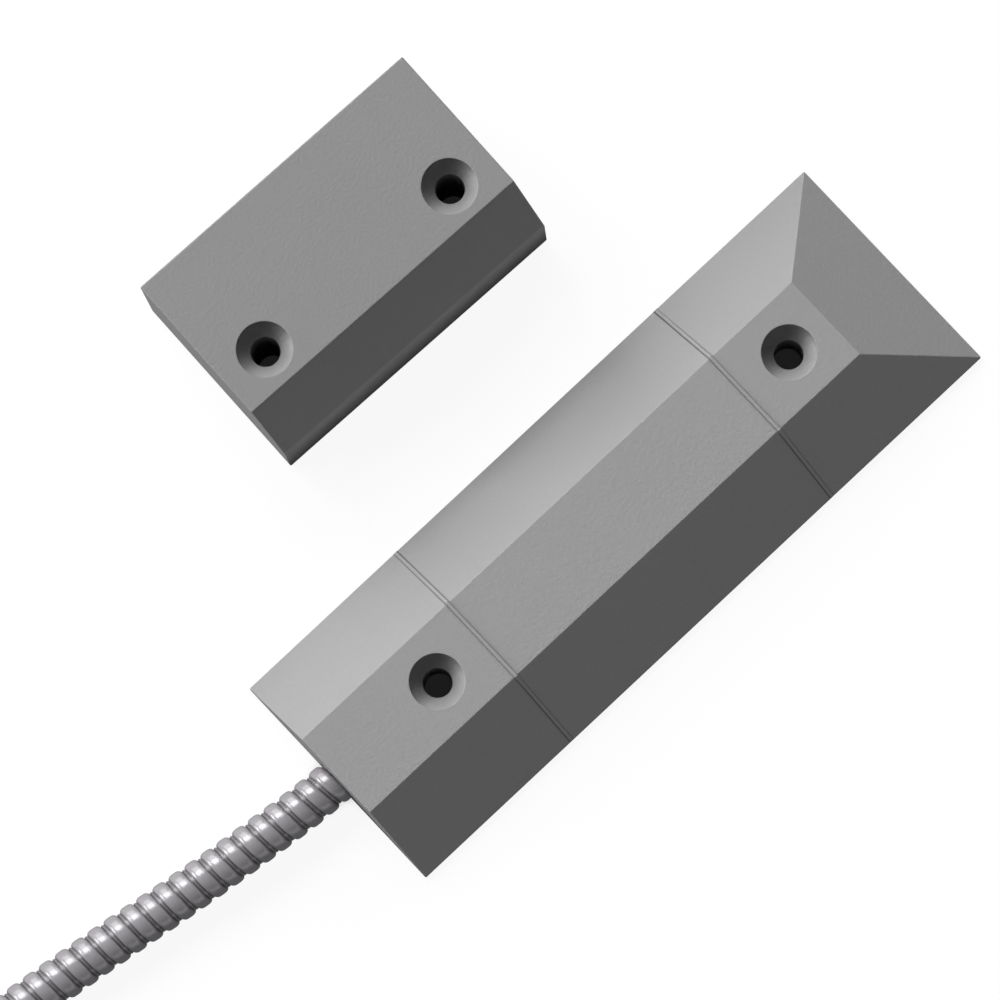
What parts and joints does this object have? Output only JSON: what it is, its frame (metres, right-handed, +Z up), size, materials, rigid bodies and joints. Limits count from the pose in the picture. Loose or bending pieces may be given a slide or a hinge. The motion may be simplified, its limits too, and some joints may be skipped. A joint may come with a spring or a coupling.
{
  "type": "floor magnetic contact",
  "caption": "Door contact: a low cast switch unit with an armoured lead screws to the floor, and a taller cast magnet unit screws to the door above it.",
  "frame": {"origin": "midway between the switch unit's two screw holes, on the plane that it is screwed to", "axes": "+X along the switch unit towards its hipped end, +Z up from the mounting plane, the magnet unit at +Y"},
  "size_m": [0.236, 0.1154, 0.0241],
  "materials": {
    "cast_aluminium": "as cast, satin",
    "potting_resin": "matt",
    "board_laminate": "satin",
    "reed_glass": "clear",
    "reed_metal": "bright",
    "solder": "bright",
    "tinned_wire": "bright",
    "turned_brass": "turned",
    "cable_jacket": "satin",
    "core_red": "gloss",
    "core_black": "gloss",
    "core_white": "gloss",
    "core_green": "gloss",
    "armour_steel": "drawn strip",
    "bush_plastic": "matt",
    "cradle_plastic": "matt",
    "ferrite": "sintered"
  },
  "bodies": {
    "root": {"switch_housing": "cast_aluminium", "switch_potting": "potting_resin", "circuit_board": "board_laminate", "reed_glass": "reed_glass", "reed_blade_a": "reed_metal", "reed_blade_b": "reed_metal", "solder_joints": "solder", "core_ends": "tinned_wire", "conduit_ferrule": "turned_brass", "inner_cable": "cable_jacket", "core_1": "core_red", "core_2": "core_black", "core_3": "core_white", "core_4": "core_green", "lead_conduit": "armour_steel", "conduit_coil": "armour_steel", "end_bush": "bush_plastic", "cable_tail": "cable_jacket", "magnet_housing": "cast_aluminium", "magnet_potting": "potting_resin", "magnet_cradle": "cradle_plastic", "bar_magnet": "ferrite", "tail_core_1": "core_red", "tail_tip_1": "tinned_wire", "tail_core_2": "core_black", "tail_tip_2": "tinned_wire", "tail_core_3": "core_white", "tail_tip_3": "tinned_wire", "tail_core_4": "core_green", "tail_tip_4": "tinned_wire"}
  },
  "joints": []
}
